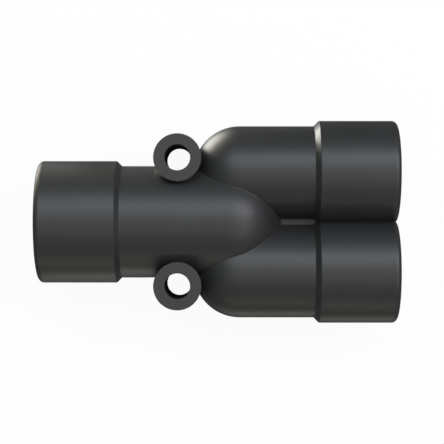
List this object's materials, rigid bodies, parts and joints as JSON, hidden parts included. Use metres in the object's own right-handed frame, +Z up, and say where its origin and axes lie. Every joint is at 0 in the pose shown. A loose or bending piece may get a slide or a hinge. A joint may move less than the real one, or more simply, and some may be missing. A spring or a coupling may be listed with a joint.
{
  "type": "conduit y fitting",
  "caption": "Moulded plastic Y fitting that joins one larger round conduit to a pair of smaller parallel ones, with upright screw eyelets beside the neck.",
  "frame": {"origin": "centre of the overall box: on the inlet socket's axis, halfway along the whole length", "axes": "+X along the run from the inlet towards the branches, +Y across the pair of branches, +Z up along the screw eyelets"},
  "size_m": [0.0708, 0.04, 0.0242],
  "materials": {
    "body_plastic": "satin black moulded plastic"
  },
  "bodies": {
    "root": {"fitting_body": "body_plastic"}
  },
  "joints": []
}
